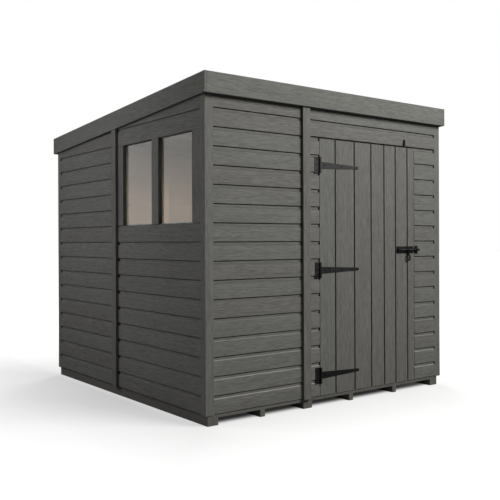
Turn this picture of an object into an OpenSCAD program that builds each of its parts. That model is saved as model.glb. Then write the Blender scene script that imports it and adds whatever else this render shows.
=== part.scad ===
// Pent garden shed with board-clad panel walls, one fixed two-pane window and a
// ledged door on three T-hinges. Millimetres, +Z up. The door wall faces -Y, the
// window wall faces -X and the ground is z = 0.

/* [Overall size] */
// Width across the front wall, over the cladding
wall_w = 2130; // [1780:5:2600]
// Depth along the side walls, over the cladding
wall_d = 2130; // [1780:5:2600]
// Height of the roof edge at the front, above the ground
front_h = 2065; // [2015:5:2500]
// Fall of the roof from front to back, in degrees
roof_fall = 3.75; // [2:0.25:4.5]

/* [Base] */
// Height of the floor bearers
bearer_h = 45; // [30:1:75]
// Width of one bearer
bearer_w = 38; // [30:1:45]
// Spacing of the bearers under the right-hand floor panel
bearer_step = 433; // [380:1:500]
// Thickness of the floor boards
floor_t = 18; // [12:1:24]
// Distance of the joint between the two floor panels from the left
floor_joint = 798; // [700:1:900]
// How far the floor edge stands in from the front and back walls
floor_inset_y = 5; // [3:1:12]
// How far the floor edge stands in from the side walls
floor_inset_left = 16; // [16:1:30]
// Distance of the floor's right edge inside the right wall face
floor_inset_right = 33; // [20:1:40]

/* [Walls] */
// Thickness of the cladding and its edge trims
clad_t = 15; // [12:0.5:20]
// Height that one cladding board covers
board_pitch = 112.8; // [94:0.2:116]
// Depth of the wall framing behind the cladding
frame_t = 34; // [28:1:50]
// Width of one stud
stud_w = 34; // [28:1:50]
// Height of the sloping rail along the top of each wall
top_rail_h = 50; // [34:1:70]
// Width of the corner trim on the front and back walls
trim_w_front = 58; // [45:1:75]
// How far the corner trim on a side wall laps past the framing of the end wall
trim_lap = 1; // [1:1:20]
// Width of the cover strip over each panel joint
strip_w = 63; // [45:1:80]
// Thickness of the cover strip
strip_t = 20; // [12:0.5:22]
// Distance of the side walls' panel joint from the front
side_joint = 1114; // [1080:1:1300]
// Distance of the back wall's panel joint from the left
back_joint = 990; // [700:5:1100]

/* [Roof] */
// Height of the fascia boards
fascia_h = 125; // [95:1:150]
// Thickness of the fascia boards
fascia_t = 15; // [12:0.5:20]
// Distance from the side walls to the outer face of their fascias
overhang_x = 24; // [23:1:40]
// Distance from the front and back walls to the outer face of their fascias
overhang_y = 34; // [26:1:40]
// Thickness of the roof boards
deck_t = 12; // [9:1:20]
// Thickness of the roofing felt
felt_t = 3; // [2:0.5:5]
// How far the fascias stand above the felt
fascia_lip = 6; // [2:1:15]
// Depth of the two roof purlins
purlin_h = 45; // [34:1:70]

/* [Doorway] */
// Width of the doorway
doorway_w = 941; // [760:1:1100]
// Cladding boards beside the doorway, from the floor to its head
doorway_boards = 15; // [13:1:15]
// Width of wall between the panel joint and the doorway
hinge_side_w = 125; // [90:1:140]
// Width of wall between the doorway and the right-hand end
latch_side_w = 287; // [200:1:400]

/* [Door] */
// Gap around the door leaf
door_gap = 5.5; // [5:0.5:8]
// Height of the ledges across the back of the door
ledge_h = 95; // [70:1:120]
// Thickness of the ledges and braces
ledge_t = 20; // [15:1:25]
// Width of a brace, measured along the ledge
brace_w = 114; // [80:1:140]
// How far the ledges stand in from the leaf's edges
ledge_inset = 25; // [20:1:40]
// Width of the door stops
stop_w = 12; // [8:1:15]
// Thickness of the door stops
stop_t = 15; // [10:1:20]

/* [T-hinges] */
// Height of the bottom hinge above the bottom of the door
hinge_low = 138; // [100:1:250]
// Distance of the top hinge below the head of the doorway
hinge_high = 180; // [100:1:300]
// Length of the strap from the hinge pin
strap_l = 360; // [250:5:400]
// Height of the strap at the pin
strap_h = 47; // [36:1:60]
// Height of the strap at its rounded end
strap_tip = 18; // [12:1:24]
// Height of the fixed flap
flap_h = 105; // [90:1:130]
// Width of the fixed flap from the hinge pin
flap_w = 45; // [35:1:55]
// Thickness of the hinge and bolt plates
plate_t = 3; // [2:0.5:4]
// Outer radius of the hinge knuckles
knuckle_r = 7; // [6:0.5:8]
// Radius of the hinge pin
pin_r = 3; // [2:0.5:4]

/* [Pad bolt] */
// Height of the bolt above the bottom of the door
bolt_height = 950; // [800:5:1100]
// Radius of the bolt bar
bolt_r = 6; // [5:0.5:6.5]
// Travel of the bolt
bolt_travel = 40; // [38:1:46]
// Length of the back plate
bolt_plate_l = 180; // [170:5:220]
// Height of the back plate
bolt_plate_h = 50; // [40:1:60]
// Distance of the back plate from the edge of the door
bolt_plate_inset = 8; // [5:1:10]
// Distance of the bolt's centre line from the face of the door
bolt_stand_off = 14; // [13.5:0.5:15]
// Length of the handle below the bolt
handle_l = 80; // [60:1:100]
// Width of the keep on the wall
keep_w = 34; // [28:1:36]
// Height of the keep's plate
keep_h = 58; // [40:1:70]

/* [Turn button] */
// Distance of the button's pivot from the latch side of the doorway
button_inset = 112; // [80:1:200]
// Height of the pivot above the head of the doorway
button_rise = 14; // [12:1:30]
// Length of the button's long arm
button_l = 40; // [38:1:60]
// Width of the button at its pivot
button_w = 19; // [14:1:22]
// Thickness of the button
button_t = 5; // [3:0.5:6]

/* [Window] */
// Distance of the window opening from the front
window_inset = 138; // [120:1:138]
// Width of each pane
pane_w = 393; // [300:1:400]
// Width of the mullion between the panes
mullion_w = 84; // [60:1:90]
// Cladding boards below the glass
sill_boards = 10; // [8:1:10]
// Height of the glass in cladding boards
window_boards = 5; // [3:1:5]
// Distance of the window's head below the line of the cladding boards
head_drop = 12; // [0:1:20]
// Thickness of the glass
glass_t = 4; // [3:0.5:6]
// Distance of the glass behind the outer face
glass_set_back = 21; // [18:1:32]

/* [Hidden] */
$fn = 48;

stain = [0.36, 0.365, 0.345];
bare_timber = [0.78, 0.70, 0.62];
black_metal = [0.10, 0.10, 0.10];
felt_grey = [0.27, 0.28, 0.28];
clear_glass = [0.75, 0.82, 0.85];

saw_gap = 0.5;      // between two loose lengths that share a node
pin_gap = 0.05;     // radial clearance of a hinge pin in its knuckle
end_gap = 0.5;      // end clearance between knuckles
knuckle_gap = 1;    // between the knuckles and the wall's face
rod_gap = 0.3;      // radial clearance of the bolt bar in its guides
keep_gap = 1;       // radial clearance of the bolt bar in the keep
swing_gap = 5;      // clearance of pieces that move past each other
roof_seat = 0.05;   // between the roof boards and the walls and rails that carry them
cut = 1;            // how far a cutting shape runs past a face

// Outer faces of the cladding, and the faces inside it
x_left = -wall_w / 2;
x_right = wall_w / 2;
y_front = -wall_d / 2;
y_back = wall_d / 2;
wall_t = clad_t + frame_t;
trim_w_side = wall_t + trim_lap;
x_room = wall_w / 2 - wall_t;
y_room = wall_d / 2 - wall_t;

// Levels
floor_top = bearer_h + floor_t;
head_z = floor_top + doorway_boards * board_pitch;
glass_low = floor_top + sill_boards * board_pitch;
glass_high = glass_low + window_boards * board_pitch - head_drop;
frame_low = glass_low - board_pitch;
frame_high = glass_high + board_pitch;

// Depth of each roof layer below the top edge of the fascias
felt_drop = fascia_lip;
deck_drop = felt_drop + felt_t;
under_deck = deck_drop + deck_t + roof_seat;
x_fascia = wall_w / 2 + overhang_x;
y_fascia = wall_d / 2 + overhang_y;
function roof_z(y) = front_h - (y + y_fascia) * tan(roof_fall);

// Panel joints and openings
doorway_right = x_right - latch_side_w;
doorway_left = doorway_right - doorway_w;
x_front_joint = doorway_left - hinge_side_w;
x_back_joint = x_left + back_joint;
x_floor_joint = x_left + floor_joint;
y_side_joint = y_front + side_joint;
pane_front = y_front + window_inset;
pane_rear = pane_front + pane_w + mullion_w;

// Door leaf
leaf_left = doorway_left + door_gap;
leaf_right = doorway_right - door_gap;
leaf_low = floor_top + swing_gap;
leaf_top = head_z - door_gap;
hinge_x = doorway_left + door_gap / 2;
hinge_y = y_front - knuckle_r - knuckle_gap;
hinge_levels = [
    floor_top + hinge_low,
    (floor_top + hinge_low + head_z - hinge_high) / 2,
    head_z - hinge_high
];

// Pad bolt, drawn back at rest
bolt_x1 = leaf_right - bolt_plate_inset;
bolt_x0 = bolt_x1 - bolt_plate_l;
bolt_y = y_front - bolt_stand_off;
bolt_z = floor_top + bolt_height;
keep_inset = 1;
keep_x = doorway_right + keep_inset;
bolt_tip = keep_x - swing_gap;
left_guide_l = 30;
middle_guide_l = 16;
right_guide_l = 12;
guide_r = 9;
collar_r = 9;
collar_l = 14;
handle_x = bolt_x1 - right_guide_l - swing_gap - bolt_travel - collar_l / 2;
middle_guide_x = handle_x - collar_l / 2 - swing_gap;
eye_w = 38;
eye_hole_w = 15;
eye_hole_l = 24;
handle_t = 6;

button_x = doorway_right - button_inset;
button_z = head_z + button_rise;
button_y = y_front - swing_gap;
button_pin_r = 3;
button_end_w = 9;

// Framing positions
bearer_right = x_right - floor_inset_right - bearer_w;
bearer_left = x_left + floor_inset_left + bearer_w;
bearers = [
    [bearer_left, 2], [(bearer_left + x_floor_joint) / 2, 1], [x_floor_joint, 2],
    [bearer_right - 2 * bearer_step, 1], [bearer_right - bearer_step, 1], [bearer_right, 2]
];

// A block between two corners
module block(x, y, z) {
    translate([x[0], y[0], z[0]])
        cube([x[1] - x[0], y[1] - y[0], z[1] - z[0]]);
}

// An outline in (y, z) extruded along x
module along_x(x) {
    translate([x[0], 0, 0])
        rotate([90, 0, 90])
            linear_extrude(x[1] - x[0])
                children();
}

// An outline in (x, z) extruded along y, from y[0] back to y[1]
module along_y(y) {
    translate([0, y[1], 0])
        rotate([90, 0, 0])
            linear_extrude(y[1] - y[0])
                children();
}

// A piece that stands on z0 and is cut to the roof's slope, a drop below it
module upright(x, y, z0, drop) {
    along_x(x)
        polygon([
            [y[0], z0], [y[1], z0],
            [y[1], roof_z(y[1]) - drop], [y[0], roof_z(y[0]) - drop]
        ]);
}

// A sheet or board that lies parallel to the roof
module roof_layer(x, y, drop, thick) {
    along_x(x)
        polygon([
            [y[0], roof_z(y[0]) - drop - thick], [y[1], roof_z(y[1]) - drop - thick],
            [y[1], roof_z(y[1]) - drop], [y[0], roof_z(y[0]) - drop]
        ]);
}

// Strips of the four walls' thicknesses
y_front_clad = [y_front, y_front + clad_t];
y_back_clad = [y_back - clad_t, y_back];
x_left_clad = [x_left, x_left + clad_t];
x_right_clad = [x_right - clad_t, x_right];
y_front_frame = [y_front + clad_t, y_front + wall_t];
y_back_frame = [y_back - wall_t, y_back - clad_t];
x_left_frame = [x_left + clad_t, x_left + wall_t];
x_right_frame = [x_right - wall_t, x_right - clad_t];
x_clad_ends = [x_left + trim_w_front, x_right - trim_w_front];
y_clad_ends = [y_front + trim_w_side, y_back - trim_w_side];

module floor_bearers() {
    color(bare_timber)
        for (b = bearers)
            block([b[0] - b[1] * bearer_w / 2, b[0] + b[1] * bearer_w / 2],
                [y_front + floor_inset_y, y_back - floor_inset_y], [0, bearer_h]);
}

module floor_panel(x) {
    color(bare_timber)
        block(x, [y_front + floor_inset_y, y_back - floor_inset_y], [bearer_h, floor_top]);
}

module floor_panel_left() {
    floor_panel([x_left + floor_inset_left, x_floor_joint]);
}

module floor_panel_right() {
    floor_panel([x_floor_joint, x_right - floor_inset_right]);
}

module front_cladding_left() {
    color(stain)
        upright([x_clad_ends[0], x_front_joint], y_front_clad, floor_top, under_deck);
}

module front_cladding_hinge_side() {
    color(stain)
        block([x_front_joint, doorway_left], y_front_clad, [floor_top, head_z]);
}

module front_cladding_latch_side() {
    color(stain)
        block([doorway_right, x_clad_ends[1]], y_front_clad, [floor_top, head_z]);
}

module front_cladding_over_door() {
    color(stain)
        upright([x_front_joint, x_clad_ends[1]], y_front_clad, head_z, under_deck);
}

module left_cladding_below_window() {
    color(stain)
        block(x_left_clad, [y_clad_ends[0], y_side_joint], [floor_top, frame_low]);
}

module left_cladding_above_window() {
    color(stain)
        upright(x_left_clad, [y_clad_ends[0], y_side_joint], frame_high, under_deck);
}

module left_cladding_rear() {
    color(stain)
        upright(x_left_clad, [y_side_joint, y_clad_ends[1]], floor_top, under_deck);
}

module right_cladding_front() {
    color(stain)
        upright(x_right_clad, [y_clad_ends[0], y_side_joint], floor_top, under_deck);
}

module right_cladding_rear() {
    color(stain)
        upright(x_right_clad, [y_side_joint, y_clad_ends[1]], floor_top, under_deck);
}

module back_cladding_left() {
    color(stain)
        upright([x_clad_ends[0], x_back_joint], y_back_clad, floor_top, under_deck);
}

module back_cladding_right() {
    color(stain)
        upright([x_back_joint, x_clad_ends[1]], y_back_clad, floor_top, under_deck);
}

// Cover strips stop at the underside of the fascias
module front_cover_strip() {
    color(stain)
        upright([x_front_joint - strip_w / 2, x_front_joint + strip_w / 2],
            [y_front - strip_t, y_front], floor_top, fascia_h);
}

module back_cover_strip() {
    color(stain)
        upright([x_back_joint - strip_w / 2, x_back_joint + strip_w / 2],
            [y_back, y_back + strip_t], floor_top, fascia_h);
}

module side_cover_strip(x) {
    color(stain)
        upright(x, [y_side_joint - strip_w / 2, y_side_joint + strip_w / 2],
            floor_top, fascia_h);
}

module left_cover_strip() {
    side_cover_strip([x_left - strip_t, x_left]);
}

module right_cover_strip() {
    side_cover_strip([x_right, x_right + strip_t]);
}

// An L-shaped corner of two trims; side and end are -1 or 1 and pick the corner
module corner_trim(side, end) {
    x_face = side * wall_w / 2;
    y_face = end * wall_d / 2;
    x_wide = x_face - side * trim_w_front;
    x_thin = x_face - side * clad_t;
    y_wide = y_face - end * trim_w_side;
    y_thin = y_face - end * clad_t;
    color(stain)
        union() {
            upright([min(x_face, x_wide), max(x_face, x_wide)],
                [min(y_face, y_thin), max(y_face, y_thin)], floor_top, under_deck);
            upright([min(x_face, x_thin), max(x_face, x_thin)],
                [min(y_face, y_wide), max(y_face, y_wide)], floor_top, under_deck);
        }
}

module corner_trim_front_left() {
    corner_trim(-1, -1);
}

module corner_trim_front_right() {
    corner_trim(1, -1);
}

module corner_trim_back_left() {
    corner_trim(-1, 1);
}

module corner_trim_back_right() {
    corner_trim(1, 1);
}

// Studs stand on the bottom rails and carry the top rails
module stud_x(x, y) {
    upright(x, y, floor_top + stud_w, under_deck + top_rail_h);
}

module front_studs() {
    color(bare_timber) {
        stud_x([x_left + clad_t, x_left + clad_t + stud_w], y_front_frame);
        stud_x([x_front_joint - stud_w, x_front_joint + stud_w], y_front_frame);
        stud_x([doorway_left - stud_w, doorway_left], y_front_frame);
        stud_x([doorway_right, doorway_right + stud_w], y_front_frame);
        stud_x([x_right - clad_t - stud_w, x_right - clad_t], y_front_frame);
    }
}

module back_studs() {
    ends = [x_left + clad_t, x_back_joint - stud_w, x_back_joint + stud_w, x_right - clad_t];
    mid_left = (ends[0] + ends[1]) / 2;
    mid_right = (ends[2] + ends[3]) / 2;
    color(bare_timber) {
        stud_x([ends[0], ends[0] + stud_w], y_back_frame);
        stud_x([mid_left - stud_w / 2, mid_left + stud_w / 2], y_back_frame);
        stud_x([ends[1], ends[2]], y_back_frame);
        stud_x([mid_right - stud_w / 2, mid_right + stud_w / 2], y_back_frame);
        stud_x([ends[3] - stud_w, ends[3]], y_back_frame);
    }
}

// Studs of a side wall, apart from the one in its front panel
module side_studs(x) {
    mid_rear = (y_side_joint + stud_w + y_room) / 2;
    stud_x(x, [-y_room, -y_room + stud_w]);
    stud_x(x, [y_side_joint - stud_w, y_side_joint + stud_w]);
    stud_x(x, [mid_rear - stud_w / 2, mid_rear + stud_w / 2]);
    stud_x(x, [y_room - stud_w, y_room]);
}

module left_studs() {
    mullion_y = pane_front + pane_w + mullion_w / 2;
    y = [mullion_y - stud_w / 2, mullion_y + stud_w / 2];
    color(bare_timber) {
        side_studs(x_left_frame);
        block(x_left_frame, y, [floor_top + stud_w, glass_low - stud_w]);
        upright(x_left_frame, y, glass_high + stud_w, under_deck + top_rail_h);
    }
}

module right_studs() {
    mid_front = (-y_room + stud_w + y_side_joint - stud_w) / 2;
    color(bare_timber) {
        side_studs(x_right_frame);
        stud_x(x_right_frame, [mid_front - stud_w / 2, mid_front + stud_w / 2]);
    }
}

module front_and_back_rails() {
    low = [floor_top, floor_top + stud_w];
    x_frame = [x_left + clad_t, x_right - clad_t];
    color(bare_timber) {
        block([x_frame[0], doorway_left], y_front_frame, low);
        block([doorway_right, x_frame[1]], y_front_frame, low);
        block(x_frame, y_back_frame, low);
        roof_layer(x_frame, y_front_frame, under_deck, top_rail_h);
        roof_layer(x_frame, y_back_frame, under_deck, top_rail_h);
        block([doorway_left, doorway_right], y_front_frame, [head_z, head_z + stud_w]);
    }
}

module side_rails() {
    color(bare_timber)
        for (x = [x_left_frame, x_right_frame]) {
            block(x, [-y_room, y_room], [floor_top, floor_top + stud_w]);
            roof_layer(x, [-y_room, y_room], under_deck, top_rail_h);
        }
}

module pane_holes() {
    for (y = [pane_front, pane_rear])
        block([x_left - cut, x_left + wall_t + cut], [y, y + pane_w], [glass_low, glass_high]);
}

// Face boards flush with the cladding, with a lining behind them around the panes
module window_frame() {
    color(stain)
        difference() {
            union() {
                block(x_left_clad, [y_clad_ends[0], y_side_joint], [frame_low, frame_high]);
                block([x_left + clad_t, x_left + wall_t],
                    [-y_room + stud_w, y_side_joint - stud_w],
                    [glass_low - stud_w, glass_high + stud_w]);
            }
            pane_holes();
            for (y = [[-y_room, pane_front - stud_w], [pane_rear + pane_w + stud_w, y_side_joint]])
                block([x_left + clad_t, x_left + wall_t + cut], y, [glass_low, glass_high]);
        }
}

module window_panes() {
    color(clear_glass)
        for (y = [pane_front, pane_rear])
            block([x_left + glass_set_back, x_left + glass_set_back + glass_t],
                [y, y + pane_w], [glass_low, glass_high]);
}

module roof_purlins() {
    color(bare_timber)
        for (y = [-y_room / 3, y_room / 3])
            roof_layer([-x_room, x_room], [y - stud_w / 2, y + stud_w / 2],
                under_deck, purlin_h);
}

module roof_deck() {
    color(bare_timber)
        roof_layer([-x_fascia + fascia_t, x_fascia - fascia_t],
            [-y_fascia + fascia_t, y_fascia - fascia_t], deck_drop, deck_t);
}

module roof_felt() {
    color(felt_grey)
        roof_layer([-x_fascia + fascia_t, x_fascia - fascia_t],
            [-y_fascia + fascia_t, y_fascia - fascia_t], felt_drop, felt_t);
}

module end_fascia(y) {
    color(stain)
        roof_layer([-x_fascia + fascia_t, x_fascia - fascia_t], y, 0, fascia_h);
}

module fascia_front() {
    end_fascia([-y_fascia, -y_fascia + fascia_t]);
}

module fascia_back() {
    end_fascia([y_fascia - fascia_t, y_fascia]);
}

module side_fascia(x) {
    color(stain)
        roof_layer(x, [-y_fascia, y_fascia], 0, fascia_h);
}

module fascia_left() {
    side_fascia([-x_fascia, -x_fascia + fascia_t]);
}

module fascia_right() {
    side_fascia([x_fascia - fascia_t, x_fascia]);
}

module door_leaf() {
    color(stain)
        block([leaf_left, leaf_right], y_front_clad, [leaf_low, leaf_top]);
}

y_ledge = [y_front + clad_t, y_front + clad_t + ledge_t];
x_ledge = [leaf_left + ledge_inset, leaf_right - ledge_inset];
x_brace = [x_ledge[0] + ledge_h / 2, x_ledge[1] - ledge_h / 2];

module door_ledges() {
    color(bare_timber)
        for (z = hinge_levels)
            block(x_ledge, y_ledge, [z - ledge_h / 2, z + ledge_h / 2]);
}

// Each brace rises from the hinge side to the latch side
module door_braces() {
    color(bare_timber)
        for (i = [0, 1]) {
            low = hinge_levels[i] + ledge_h / 2;
            high = hinge_levels[i + 1] - ledge_h / 2;
            along_y(y_ledge)
                polygon([
                    [x_brace[0], low], [x_brace[0] + brace_w, low],
                    [x_brace[1], high], [x_brace[1] - brace_w, high]
                ]);
        }
}

module door_stops() {
    y = [y_front + clad_t + swing_gap, y_front + clad_t + swing_gap + stop_t];
    color(bare_timber) {
        block([doorway_left, doorway_left + stop_w], y, [floor_top, head_z]);
        block([doorway_right - stop_w, doorway_right], y, [floor_top, head_z]);
        block([doorway_left + stop_w + saw_gap, doorway_right - stop_w - saw_gap], y,
            [head_z - stop_w, head_z]);
    }
}

module upright_rod(x, y, z, r) {
    translate([x, y, z[0]])
        cylinder(r = r, h = z[1] - z[0]);
}

// Tapered strap with a rounded end, turning on the middle knuckle
module hinge_strap(z) {
    knuckle = [z - strap_h / 2 + end_gap, z + strap_h / 2 - end_gap];
    end_x = hinge_x + strap_l - strap_tip / 2;
    difference() {
        union() {
            along_y([y_front - plate_t, y_front])
                union() {
                    polygon([
                        [hinge_x, knuckle[0]], [end_x, z - strap_tip / 2],
                        [end_x, z + strap_tip / 2], [hinge_x, knuckle[1]]
                    ]);
                    translate([end_x, z])
                        circle(d = strap_tip);
                }
            upright_rod(hinge_x, hinge_y, knuckle, knuckle_r);
        }
        upright_rod(hinge_x, hinge_y, [z - strap_h, z + strap_h], pin_r + pin_gap);
    }
}

module hinge_straps() {
    color(black_metal)
        for (z = hinge_levels)
            hinge_strap(z);
}

// Fixed flap with two knuckles and the riveted pin
module hinge_flap(z) {
    color(black_metal)
        union() {
            difference() {
                block([hinge_x - flap_w, hinge_x], [y_front - plate_t, y_front],
                    [z - flap_h / 2, z + flap_h / 2]);
                block([hinge_x - knuckle_r - 2 * knuckle_gap, hinge_x + cut],
                    [y_front - plate_t - cut, y_front + cut],
                    [z - strap_h / 2, z + strap_h / 2]);
            }
            upright_rod(hinge_x, hinge_y, [z - flap_h / 2, z - strap_h / 2], knuckle_r);
            upright_rod(hinge_x, hinge_y, [z + strap_h / 2, z + flap_h / 2], knuckle_r);
            upright_rod(hinge_x, hinge_y, [z - flap_h / 2, z + flap_h / 2], pin_r);
        }
}

module hinge_flaps() {
    for (z = hinge_levels)
        hinge_flap(z);
}

// A rod or bore along x on the bolt's centre line
module bolt_rod(x, r) {
    translate([x[0], bolt_y, bolt_z])
        rotate([0, 90, 0])
            cylinder(r = r, h = x[1] - x[0]);
}

// A guide of one length: a foot on the plate and a round shell over the bar
module bolt_guide(x) {
    block(x, [bolt_y, y_front - plate_t], [bolt_z - guide_r, bolt_z + guide_r]);
    bolt_rod(x, guide_r);
}

module bolt_plate() {
    color(black_metal)
        difference() {
            union() {
                block([bolt_x0, bolt_x1], [y_front - plate_t, y_front],
                    [bolt_z - bolt_plate_h / 2, bolt_z + bolt_plate_h / 2]);
                bolt_guide([bolt_x0 + swing_gap, bolt_x0 + swing_gap + left_guide_l]);
                bolt_guide([middle_guide_x - middle_guide_l, middle_guide_x]);
                bolt_guide([bolt_x1 - right_guide_l, bolt_x1]);
            }
            bolt_rod([bolt_x0 - cut, bolt_x1 + cut], bolt_r + rod_gap);
        }
}

module bolt_bar() {
    color(black_metal)
        bolt_rod([bolt_x0, bolt_tip], bolt_r);
}

// Collar on the bar with a hanging arm that ends in an oval eye
module bolt_handle() {
    eye_z = bolt_z - handle_l + eye_w / 2;
    eye_rise = eye_hole_l - eye_hole_w;
    color(black_metal)
        difference() {
            union() {
                bolt_rod([handle_x - collar_l / 2, handle_x + collar_l / 2], collar_r);
                along_y([bolt_y - handle_t / 2, bolt_y + handle_t / 2])
                    union() {
                        translate([handle_x - collar_l / 2, eye_z])
                            square([collar_l, bolt_z - eye_z]);
                        translate([handle_x, eye_z])
                            circle(d = eye_w);
                        translate([handle_x - eye_w / 2, eye_z])
                            square([eye_w, eye_rise]);
                        translate([handle_x, eye_z + eye_rise])
                            circle(d = eye_w);
                    }
            }
            bolt_rod([handle_x - collar_l, handle_x + collar_l], bolt_r + pin_gap);
            along_y([bolt_y - handle_t, bolt_y + handle_t])
                union() {
                    translate([handle_x, eye_z])
                        circle(d = eye_hole_w);
                    translate([handle_x - eye_hole_w / 2, eye_z])
                        square([eye_hole_w, eye_rise]);
                    translate([handle_x, eye_z + eye_rise])
                        circle(d = eye_hole_w);
                }
        }
}

module bolt_keep() {
    x = [keep_x, keep_x + keep_w];
    color(black_metal)
        difference() {
            union() {
                block(x, [y_front - plate_t, y_front], [bolt_z - keep_h / 2, bolt_z + keep_h / 2]);
                bolt_guide(x);
            }
            bolt_rod([x[0] - cut, x[1] + cut], bolt_r + keep_gap);
        }
}

// A rod along y on the turn button's pivot
module button_rod(y, r) {
    translate([button_x, y[1], button_z])
        rotate([90, 0, 0])
            cylinder(r = r, h = y[1] - y[0]);
}

// Released at rest: the long arm points up, clear of the door
module turn_button() {
    color(black_metal)
        difference() {
            along_y([button_y - button_t, button_y])
                union() {
                    polygon([
                        [button_x - button_w / 2, button_z], [button_x + button_w / 2, button_z],
                        [button_x + button_end_w / 2, button_z + button_l - button_end_w / 2],
                        [button_x - button_end_w / 2, button_z + button_l - button_end_w / 2]
                    ]);
                    translate([button_x, button_z])
                        circle(d = button_w);
                    translate([button_x, button_z + button_l - button_end_w / 2])
                        circle(d = button_end_w);
                }
            button_rod([button_y - button_t - cut, button_y + cut], button_pin_r + pin_gap);
        }
}

// Spacer, screw and head that hold the turn button off the wall
module turn_button_pivot() {
    head_y = button_y - button_t - rod_gap;
    color(black_metal)
        union() {
            button_rod([button_y + rod_gap, y_front], button_pin_r * 2);
            button_rod([head_y - plate_t, y_front], button_pin_r);
            button_rod([head_y - plate_t, head_y], button_pin_r * 2);
        }
}

floor_bearers();
floor_panel_left();
floor_panel_right();
front_cladding_left();
front_cladding_hinge_side();
front_cladding_latch_side();
front_cladding_over_door();
front_cover_strip();
left_cladding_below_window();
left_cladding_above_window();
left_cladding_rear();
left_cover_strip();
window_frame();
window_panes();
right_cladding_front();
right_cladding_rear();
right_cover_strip();
back_cladding_left();
back_cladding_right();
back_cover_strip();
corner_trim_front_left();
corner_trim_front_right();
corner_trim_back_left();
corner_trim_back_right();
front_studs();
back_studs();
left_studs();
right_studs();
front_and_back_rails();
side_rails();
roof_purlins();
roof_deck();
roof_felt();
fascia_front();
fascia_back();
fascia_left();
fascia_right();
door_leaf();
door_ledges();
door_braces();
door_stops();
hinge_straps();
hinge_flaps();
bolt_plate();
bolt_bar();
bolt_handle();
bolt_keep();
turn_button();
turn_button_pivot();
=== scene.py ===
"""Pent garden shed: boards, trims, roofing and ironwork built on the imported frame.

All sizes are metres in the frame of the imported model. Places come from the CAD
nodes; widths of boards, gaps and roundings that the CAD leaves out are named here.
"""
import math
import random

import bmesh
import bpy
from mathutils import Matrix, Vector


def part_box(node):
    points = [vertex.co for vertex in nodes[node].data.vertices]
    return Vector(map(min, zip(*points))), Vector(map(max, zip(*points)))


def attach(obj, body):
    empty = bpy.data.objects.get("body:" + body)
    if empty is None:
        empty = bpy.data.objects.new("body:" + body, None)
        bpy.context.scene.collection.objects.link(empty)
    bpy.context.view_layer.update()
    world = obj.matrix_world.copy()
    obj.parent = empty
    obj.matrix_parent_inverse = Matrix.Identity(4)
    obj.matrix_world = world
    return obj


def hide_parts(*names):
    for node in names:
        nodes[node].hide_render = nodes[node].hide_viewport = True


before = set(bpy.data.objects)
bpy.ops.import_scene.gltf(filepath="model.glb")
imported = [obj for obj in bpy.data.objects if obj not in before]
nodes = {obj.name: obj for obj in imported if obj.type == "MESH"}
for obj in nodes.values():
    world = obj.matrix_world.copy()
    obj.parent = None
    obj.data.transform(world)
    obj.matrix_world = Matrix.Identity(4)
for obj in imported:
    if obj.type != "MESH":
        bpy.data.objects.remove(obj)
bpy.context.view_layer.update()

X, Y, Z = Vector((1, 0, 0)), Vector((0, 1, 0)), Vector((0, 0, 1))
timber_picks = random.Random(41)


# ---------------------------------------------------------------- shader nodes

def start_material(name):
    """A new material with one Principled shader; returns material, tree, shader."""
    material = bpy.data.materials.new(name)
    material.use_nodes = True
    tree = material.node_tree
    tree.nodes.clear()
    shader = tree.nodes.new("ShaderNodeBsdfPrincipled")
    output = tree.nodes.new("ShaderNodeOutputMaterial")
    tree.links.new(shader.outputs["BSDF"], output.inputs["Surface"])
    return material, tree, shader


def plug(tree, value, socket):
    """Sets a socket to a plain value, or links another node's output to it."""
    if isinstance(value, bpy.types.NodeSocket):
        tree.links.new(value, socket)
    else:
        socket.default_value = value


def combined(tree, kind, a, b=0.0):
    """A Math node of that kind on one or two values."""
    node = tree.nodes.new("ShaderNodeMath")
    node.operation = kind
    plug(tree, a, node.inputs[0])
    plug(tree, b, node.inputs[1])
    return node.outputs[0]


def stretched(tree, vector, scale):
    """The vector stretched by a Mapping node."""
    node = tree.nodes.new("ShaderNodeMapping")
    plug(tree, vector, node.inputs["Vector"])
    node.inputs["Scale"].default_value = scale
    return node.outputs[0]


def noise(tree, vector, scale, detail=3.0, roughness=0.55, distortion=0.0):
    """Fractal noise from 0 to 1."""
    node = tree.nodes.new("ShaderNodeTexNoise")
    plug(tree, vector, node.inputs["Vector"])
    node.inputs["Scale"].default_value = scale
    node.inputs["Detail"].default_value = detail
    node.inputs["Roughness"].default_value = roughness
    node.inputs["Distortion"].default_value = distortion
    return node.outputs["Fac"]


def spread(tree, value, low, high, to_low=0.0, to_high=1.0, kind="LINEAR"):
    """Maps low..high of a value onto another range, clamped."""
    node = tree.nodes.new("ShaderNodeMapRange")
    node.interpolation_type = kind
    plug(tree, value, node.inputs["Value"])
    for name, number in (("From Min", low), ("From Max", high),
                         ("To Min", to_low), ("To Max", to_high)):
        node.inputs[name].default_value = number
    return node.outputs[0]


def colour_mix(tree, factor, a, b):
    """Blends two colours."""
    node = tree.nodes.new("ShaderNodeMix")
    node.data_type = "RGBA"
    plug(tree, factor, node.inputs[0])
    plug(tree, a if isinstance(a, bpy.types.NodeSocket) else (*a, 1), node.inputs[6])
    plug(tree, b if isinstance(b, bpy.types.NodeSocket) else (*b, 1), node.inputs[7])
    return node.outputs[2]


def relief(tree, height, distance, strength):
    """A bump from a height of 0 to 1 that is distance metres deep."""
    node = tree.nodes.new("ShaderNodeBump")
    node.inputs["Strength"].default_value = strength
    node.inputs["Distance"].default_value = distance
    plug(tree, height, node.inputs["Height"])
    return node.outputs[0]


def own_attribute(tree, name, output):
    """A value that each board carries in its mesh."""
    node = tree.nodes.new("ShaderNodeAttribute")
    node.attribute_name = name
    return node.outputs[output]


def object_place(tree):
    """Where a point lies in the frame, in metres."""
    return tree.nodes.new("ShaderNodeTexCoord").outputs["Object"]


# ---------------------------------------------------------------- materials

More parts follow.
